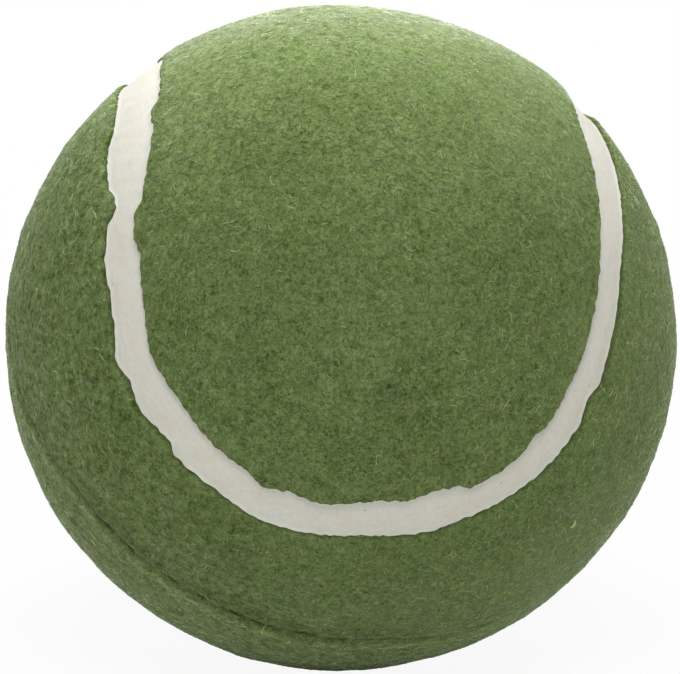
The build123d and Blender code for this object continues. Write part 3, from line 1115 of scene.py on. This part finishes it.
class TENNISBALL_OT_stage(bpy.types.Operator):
    """Sets the pale floor, the white surroundings, the soft lamps and the camera"""

    bl_idname = "tennis_ball.stage"
    bl_label = "Stage"

    def execute(self, context):
        scene = context.scene
        look = scene.stage_look
        radius = scene.ball_shape.ball_radius
        scene.view_settings.view_transform = "Standard"
        self.lay_floor(scene, look, radius)
        self.light_surroundings(scene, look)
        self.hang_lamp(scene, "top_lamp", (0, 0, 0.085), 0.05, look.top_power)
        self.hang_lamp(scene, "left_lamp", (-0.075, 0.045, 0.03), 0.05, look.left_power)
        self.hang_lamp(scene, "right_lamp", (0.075, 0.03, 0.06), 0.05, look.right_power)
        self.hang_lamp(scene, "upper_front_lamp", (0, -0.354, 0.421), 0.30, look.upper_front_power)
        self.hang_lamp(scene, "front_lamp", (0, -0.476, 0.275), 0.30, look.front_power)
        camera = bpy.data.cameras.new("photo_view")
        camera.sensor_fit = "HORIZONTAL"
        camera.sensor_width = 36
        camera.lens = look.camera_lens
        camera.shift_x = -0.0013
        camera.shift_y = 0.0009
        camera.clip_start = 0.01
        camera_object = bpy.data.objects.new("photo_view", camera)
        reach = look.camera_reach * radius
        camera_object.location = (0, -reach * math.cos(look.camera_rise), reach * math.sin(look.camera_rise))
        camera_object.rotation_euler = (math.pi / 2 - look.camera_rise, 0, 0)
        scene.collection.objects.link(camera_object)
        scene.camera = camera_object
        return {"FINISHED"}

    def hang_lamp(self, scene, name, place, side, power):
        """A square soft lamp that faces the ball's centre."""
        lamp = bpy.data.lights.new(name, "AREA")
        lamp.shape = "SQUARE"
        lamp.size = side
        lamp.energy = power
        lamp_object = bpy.data.objects.new(name, lamp)
        lamp_object.location = place
        lamp_object.rotation_euler = Vector(place).to_track_quat("Z", "Y").to_euler()
        lamp_object.visible_camera = False
        scene.collection.objects.link(lamp_object)

    def seen_rays(self, tree):
        """1 for what the camera, a mirror or glass sees, 0 for light on the object."""
        path = node(tree, "ShaderNodeLightPath", (-4, 0))
        first = node(tree, "ShaderNodeMath", (-3, 0), operation="MAXIMUM")
        both = node(tree, "ShaderNodeMath", (-2, 0), operation="MAXIMUM")
        tree.links.new(path.outputs["Is Camera Ray"], first.inputs[0])
        tree.links.new(path.outputs["Is Glossy Ray"], first.inputs[1])
        tree.links.new(first.outputs[0], both.inputs[0])
        tree.links.new(path.outputs["Is Transmission Ray"], both.inputs[1])
        return both.outputs[0]

    def lay_floor(self, scene, look, radius):
        """A wide pale floor that the ball rests on, white to the camera far off and still shadowed near by."""
        half = 3.0
        mesh = bpy.data.meshes.new("pale_floor")
        corners = [(-half, -half, 0), (half, -half, 0), (half, half, 0), (-half, half, 0)]
        mesh.from_pydata(corners, [], [(0, 1, 2, 3)])
        floor = bpy.data.objects.new("pale_floor", mesh)
        floor.location.z = -radius
        scene.collection.objects.link(floor)
        material, tree, shader = new_material("pale_floor", 0.9)
        shader.inputs["Base Color"].default_value = solid(look.floor_colour)
        shader.inputs["Specular IOR Level"].default_value = 0.0
        glow = node(tree, "ShaderNodeEmission", (0, 2))
        place = node(tree, "ShaderNodeTexCoord", (-4, 2))
        reach = node(tree, "ShaderNodeVectorMath", (-3, 2), operation="LENGTH")
        tree.links.new(place.outputs["Object"], reach.inputs[0])
        white = node(tree, "ShaderNodeMapRange", (-2, 2), From_Min=0.04, From_Max=0.2, To_Min=0.93, To_Max=1.0)
        tree.links.new(reach.outputs["Value"], white.inputs["Value"])
        share = node(tree, "ShaderNodeMath", (-1, 0), operation="MULTIPLY")
        tree.links.new(self.seen_rays(tree), share.inputs[0])
        tree.links.new(white.outputs["Result"], share.inputs[1])
        mix = node(tree, "ShaderNodeMixShader", (2, 0))
        tree.links.new(share.outputs[0], mix.inputs["Fac"])
        tree.links.new(shader.outputs["BSDF"], mix.inputs[1])
        tree.links.new(glow.outputs["Emission"], mix.inputs[2])
        tree.links.new(mix.outputs["Shader"], tree.nodes["Material Output"].inputs["Surface"])
        mesh.materials.append(material)

    def light_surroundings(self, scene, look):
        """White surroundings: at full strength to the camera, softer as light."""
        world = bpy.data.worlds.new("white_surroundings")
        world.use_nodes = True
        tree = world.node_tree
        light = tree.nodes["Background"]
        light.inputs["Color"].default_value = (1, 1, 1, 1)
        light.inputs["Strength"].default_value = look.ambient
        backdrop = node(tree, "ShaderNodeBackground", (0, 2), Color=(1, 1, 1, 1), Strength=1.0)
        mix = node(tree, "ShaderNodeMixShader", (2, 0))
        tree.links.new(self.seen_rays(tree), mix.inputs["Fac"])
        tree.links.new(light.outputs["Background"], mix.inputs[1])
        tree.links.new(backdrop.outputs["Background"], mix.inputs[2])
        tree.links.new(mix.outputs["Shader"], tree.nodes["World Output"].inputs["Surface"])
        scene.world = world


OPERATORS = (
    TENNISBALL_OT_stage,
    TENNISBALL_OT_felt_panels,
    TENNISBALL_OT_felt_nap,
    TENNISBALL_OT_seam_strip,
    TENNISBALL_OT_inner_layers,
)
LOOKS = {"ball_shape": BallShape, "felt_look": FeltLook, "seam_look": SeamLook, "stage_look": StageLook}


class TENNISBALL_PT_parts(bpy.types.Panel):
    """Lists the ball's pieces and their sizes and colours"""

    bl_idname = "TENNISBALL_PT_parts"
    bl_label = "Tennis ball"
    bl_space_type = "VIEW_3D"
    bl_region_type = "UI"
    bl_category = "Tennis ball"

    def draw(self, context):
        for operator in OPERATORS:
            self.layout.operator(operator.bl_idname)
        for name, look in LOOKS.items():
            box = self.layout.box()
            for setting in look.__annotations__:
                box.prop(getattr(context.scene, name), setting)


CLASSES = (*LOOKS.values(), *OPERATORS, TENNISBALL_PT_parts)


def register():
    for each in CLASSES:
        bpy.utils.register_class(each)
    for name, look in LOOKS.items():
        setattr(bpy.types.Scene, name, bpy.props.PointerProperty(type=look))


def unregister():
    for name in LOOKS:
        delattr(bpy.types.Scene, name)
    for each in reversed(CLASSES):
        bpy.utils.unregister_class(each)


def main():
    register()
    bpy.ops.tennis_ball.stage()
    bpy.ops.tennis_ball.felt_panels()
    bpy.ops.tennis_ball.felt_nap()
    bpy.ops.tennis_ball.seam_strip()
    bpy.ops.tennis_ball.inner_layers()


if __name__ == "__main__":
    main()
